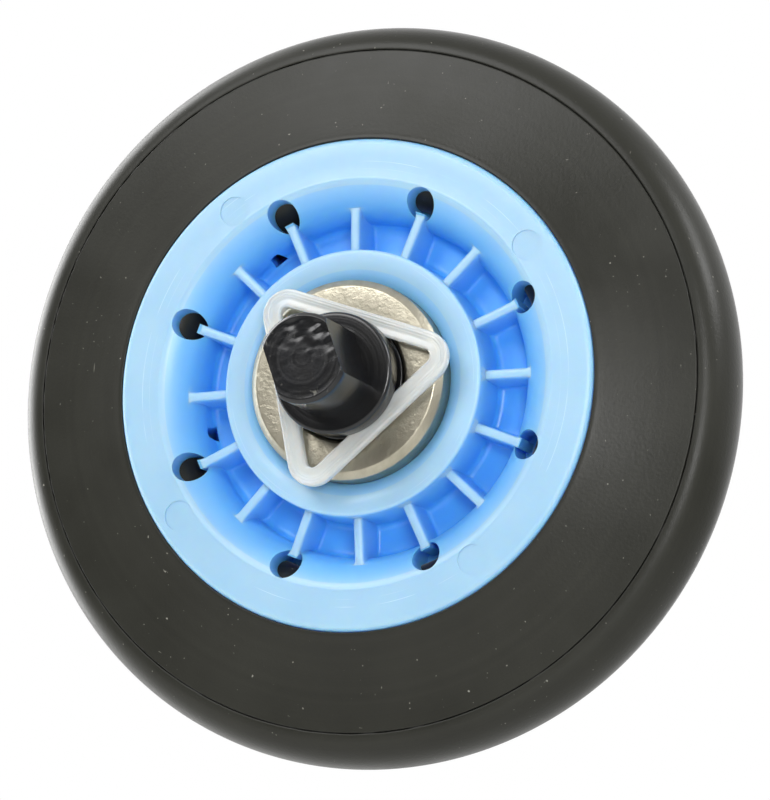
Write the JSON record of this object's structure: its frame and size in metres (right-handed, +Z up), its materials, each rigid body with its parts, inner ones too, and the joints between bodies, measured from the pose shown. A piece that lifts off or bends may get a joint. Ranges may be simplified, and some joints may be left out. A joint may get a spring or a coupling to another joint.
{
  "type": "dryer drum roller",
  "caption": "Support roller for a tumble dryer's drum: a rubber-tyred wheel that spins freely on a fixed shaft with a rear mounting stud and a double-D front stub.",
  "frame": {"origin": "the wheel's centre: the point of the spin axis in the tyre's middle plane", "axes": "Y is the spin axis: the double-D stub points to -Y and the mounting stud to +Y. Z is up as the roller is fitted in a dryer."},
  "size_m": [0.082, 0.0496, 0.082],
  "materials": {
    "tyre": "satin moulded rubber",
    "hub": "moulded polyamide, satin, light blue",
    "bush": "sintered iron, oiled",
    "shaft": "black oxide steel",
    "clip": "natural nylon, milky and translucent",
    "washer": "plain bright steel"
  },
  "bodies": {
    "axle": {"shaft": "shaft", "retaining_clip": "clip", "thrust_washer": "washer"},
    "wheel": {"tyre": "tyre", "hub": "hub", "bush": "bush"}
  },
  "joints": [
    {"name": "wheel_spin", "type": "hinge", "parent": "axle", "child": "wheel", "pos_m": [0, 0, 0], "axis": [0, -1, 0], "continuous": true}
  ]
}
